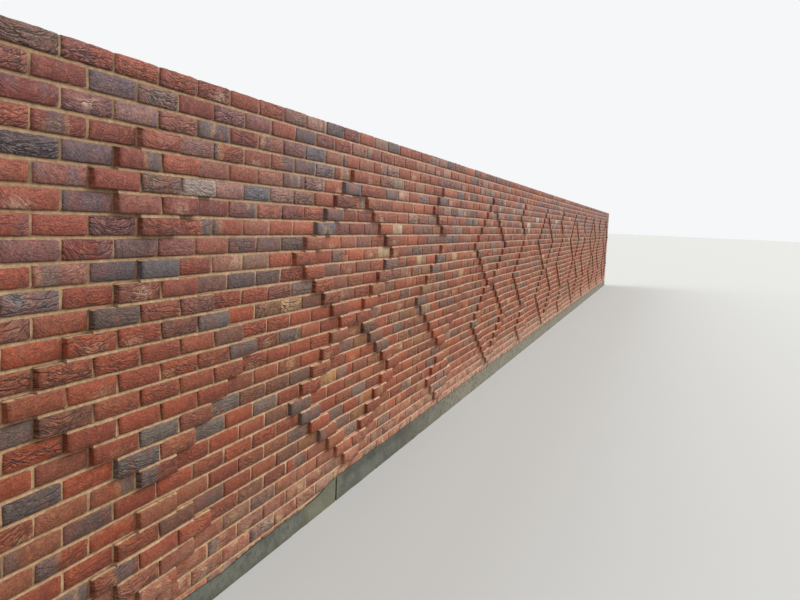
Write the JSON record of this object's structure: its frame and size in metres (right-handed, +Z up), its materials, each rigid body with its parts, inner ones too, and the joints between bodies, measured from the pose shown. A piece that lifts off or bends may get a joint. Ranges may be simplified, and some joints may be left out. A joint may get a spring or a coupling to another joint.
{
  "type": "brick garden wall",
  "caption": "Long free-standing brick garden wall in stretcher bond, with lozenges and chained diamonds of projecting bricks on its face and a concrete strip under it.",
  "frame": {"origin": "underside of the concrete strip, at mid-length and mid-thickness of the wall", "axes": "+X along the wall, +Z up, -Y out of the patterned face"},
  "size_m": [21.59, 0.24, 2.135],
  "materials": {
    "brick": "matt creased clay facing bricks, red to plum and blue-grey, in buff mortar",
    "projecting_brick": "matt creased clay facing bricks set 25 mm forward, in buff mortar",
    "mortar": "matt buff lime mortar",
    "concrete": "rough weathered grey concrete"
  },
  "bodies": {
    "root": {"front_leaf_bay_1": "brick", "upper_lozenge_bay_1": "projecting_brick", "large_lozenge_bay_1": "projecting_brick", "lower_lozenge_bay_1": "projecting_brick", "diamond_chain_bay_1": "projecting_brick", "front_leaf_bay_2": "brick", "upper_lozenge_bay_2": "projecting_brick", "large_lozenge_bay_2": "projecting_brick", "lower_lozenge_bay_2": "projecting_brick", "diamond_chain_bay_2": "projecting_brick", "front_leaf_bay_3": "brick", "upper_lozenge_bay_3": "projecting_brick", "large_lozenge_bay_3": "projecting_brick", "lower_lozenge_bay_3": "projecting_brick", "diamond_chain_bay_3": "projecting_brick", "front_leaf_bay_4": "brick", "upper_lozenge_bay_4": "projecting_brick", "large_lozenge_bay_4": "projecting_brick", "lower_lozenge_bay_4": "projecting_brick", "diamond_chain_bay_4": "projecting_brick", "front_leaf_bay_5": "brick", "upper_lozenge_bay_5": "projecting_brick", "large_lozenge_bay_5": "projecting_brick", "lower_lozenge_bay_5": "projecting_brick", "diamond_chain_bay_5": "projecting_brick", "front_leaf_bay_6": "brick", "upper_lozenge_bay_6": "projecting_brick", "large_lozenge_bay_6": "projecting_brick", "lower_lozenge_bay_6": "projecting_brick", "diamond_chain_bay_6": "projecting_brick", "back_leaf": "brick", "top_course": "brick", "concrete_strip_1": "concrete", "concrete_strip_2": "concrete", "concrete_strip_3": "concrete", "concrete_strip_4": "concrete"}
  },
  "joints": []
}
